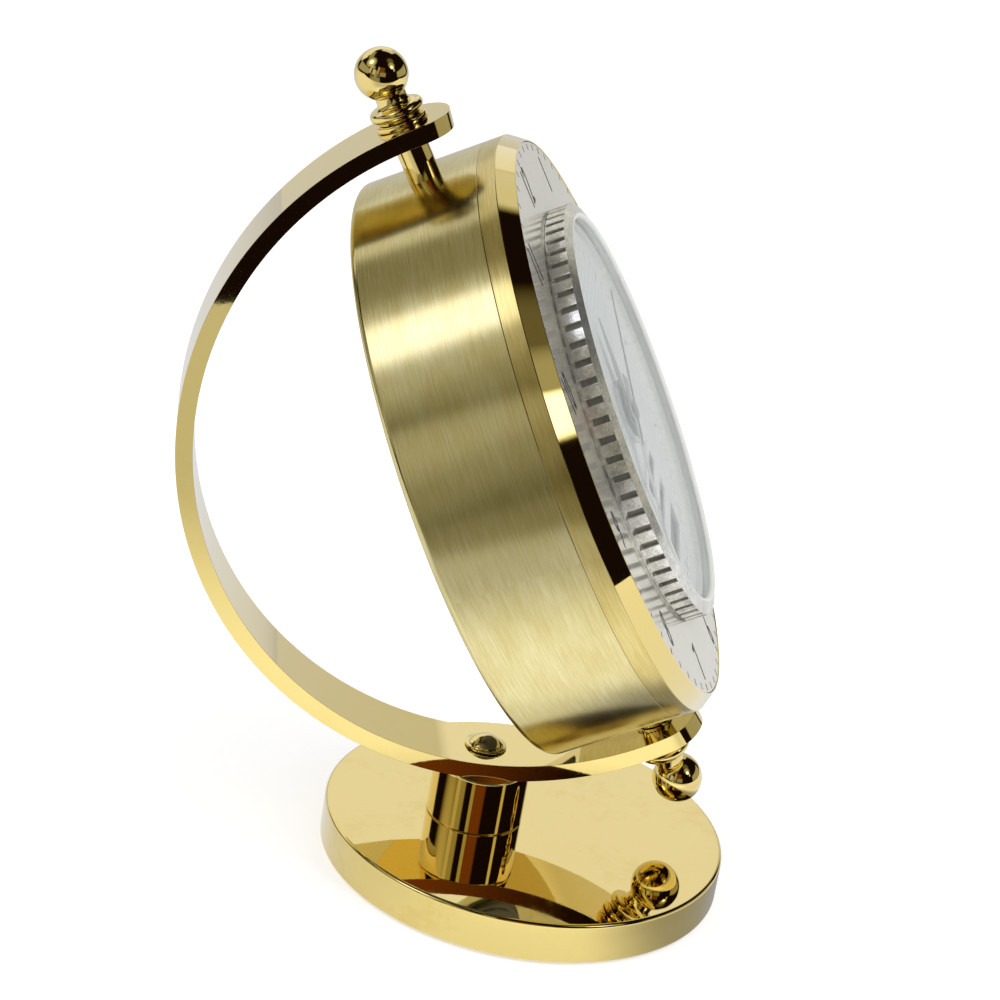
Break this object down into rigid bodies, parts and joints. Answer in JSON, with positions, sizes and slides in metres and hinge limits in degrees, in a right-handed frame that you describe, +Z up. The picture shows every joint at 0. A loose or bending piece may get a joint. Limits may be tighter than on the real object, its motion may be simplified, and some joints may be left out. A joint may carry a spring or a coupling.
{
  "type": "swivel desk clock with calendar",
  "caption": "Round brass desk clock with a calendar window; its drum swivels between two pivots of a curved arm that stands on a short column and a round base.",
  "frame": {"origin": "middle of the underside of the round base, on the surface it stands on", "axes": "+Z up; the dial looks towards -Y, leaning back; +X is on the right of someone who reads the dial"},
  "size_m": [0.0819, 0.0834, 0.1122],
  "materials": {
    "polished_brass": "polished and lacquered",
    "brushed_brass": "brushed round the drum",
    "brass_screw": "polished",
    "silver_plate": "silvered, satin",
    "coin_metal": "polished silver",
    "crystal_glass": "clear",
    "dial_silver": "finely ribbed silver",
    "white_plastic": "matt white",
    "calendar_card": "matt printed",
    "grey_card": "matt grey",
    "black_plastic": "matt black",
    "movement_plastic": "matt moulded",
    "hand_metal": "dark, satin",
    "hand_silver": "satin",
    "steel": "plain",
    "battery_wrap": "plain sleeve",
    "felt": "green felt"
  },
  "bodies": {
    "stand": {"base_plate": "polished_brass", "felt_pad": "felt", "column": "polished_brass", "base_screw": "steel", "arm": "polished_brass", "arm_washer": "brass_screw", "arm_screw": "brass_screw", "top_bushing": "polished_brass", "bottom_bushing": "polished_brass", "top_thrust_washer": "polished_brass", "bottom_thrust_washer": "polished_brass"},
    "drum": {"case_shell": "brushed_brass", "front_bezel": "polished_brass", "chapter_plate": "silver_plate", "carrier_ring": "black_plastic", "clamp_ring": "black_plastic", "coin_ring": "coin_metal", "crystal": "crystal_glass", "reflector_ring": "white_plastic", "dial": "dial_silver", "calendar_frame": "white_plastic", "calendar_plate": "white_plastic", "movement_case": "movement_plastic", "boss_nut": "steel", "battery": "battery_wrap", "positive_contact": "steel", "negative_contact": "steel", "rear_cover": "black_plastic", "standoff_1": "black_plastic", "standoff_2": "black_plastic", "standoff_3": "black_plastic", "cover_screws": "steel", "top_pivot_post": "polished_brass", "bottom_pivot_post": "polished_brass", "top_pivot_nut": "steel", "bottom_pivot_nut": "steel", "top_finial": "polished_brass", "bottom_finial": "polished_brass"},
    "hour": {"hour_hand": "hand_metal"},
    "minute": {"minute_hand": "hand_silver"},
    "second": {"second_hand": "hand_metal"},
    "day_wheel": {"day_ring": "grey_card"},
    "date_wheel": {"date_ring": "calendar_card"},
    "month_wheel": {"month_ring": "grey_card"},
    "time_setting": {"set_knob": "black_plastic"},
    "date_setting": {"date_knob": "black_plastic"},
    "battery_lid": {"battery_door": "black_plastic"}
  },
  "joints": [
    {"name": "drum_swivel", "type": "hinge", "parent": "stand", "child": "drum", "pos_m": [0, 0.0077, 0.06175], "axis": [0, 0.5113, 0.8594], "continuous": true},
    {"name": "minute_turn", "type": "hinge", "parent": "drum", "child": "minute", "pos_m": [0, 0.0077, 0.06175], "axis": [-0.1418, -0.8507, 0.5061], "continuous": true},
    {"name": "hour_turn", "type": "hinge", "parent": "drum", "child": "hour", "pos_m": [0, 0.0077, 0.06175], "axis": [-0.1418, -0.8507, 0.5061], "continuous": true},
    {"name": "time_knob_turn", "type": "hinge", "parent": "drum", "child": "time_setting", "pos_m": [0, 0.0077, 0.06175], "axis": [-0.1418, -0.8507, 0.5061], "continuous": true},
    {"name": "second_turn", "type": "hinge", "parent": "drum", "child": "second", "pos_m": [0, 0.0077, 0.06175], "axis": [-0.1418, -0.8507, 0.5061], "continuous": true},
    {"name": "date_turn", "type": "hinge", "parent": "drum", "child": "date_wheel", "pos_m": [0, 0.0077, 0.06175], "axis": [-0.1418, -0.8507, 0.5061], "continuous": true},
    {"name": "day_turn", "type": "hinge", "parent": "drum", "child": "day_wheel", "pos_m": [0, 0.0077, 0.06175], "axis": [-0.1418, -0.8507, 0.5061], "continuous": true},
    {"name": "month_turn", "type": "hinge", "parent": "drum", "child": "month_wheel", "pos_m": [0, 0.0077, 0.06175], "axis": [-0.1418, -0.8507, 0.5061], "continuous": true},
    {"name": "date_knob_turn", "type": "hinge", "parent": "drum", "child": "date_setting", "pos_m": [0.01485, 0.01201, 0.07315], "axis": [-0.1418, -0.8507, 0.5061], "continuous": true},
    {"name": "battery_lid_hinge", "type": "hinge", "parent": "drum", "child": "battery_lid", "pos_m": [0.00113, 0.00433, 0.0406], "axis": [-0.9899, 0.1218, -0.0725], "range_deg": [0, 100]}
  ],
  "couplings": [
    {"joint": "hour_turn", "follows": "minute_turn", "ratio": 0.083333},
    {"joint": "time_knob_turn", "follows": "minute_turn", "ratio": 1},
    {"joint": "day_turn", "follows": "date_turn", "ratio": 4.4286},
    {"joint": "month_turn", "follows": "date_turn", "ratio": 0.083333},
    {"joint": "date_knob_turn", "follows": "date_turn", "ratio": 5.1667}
  ]
}
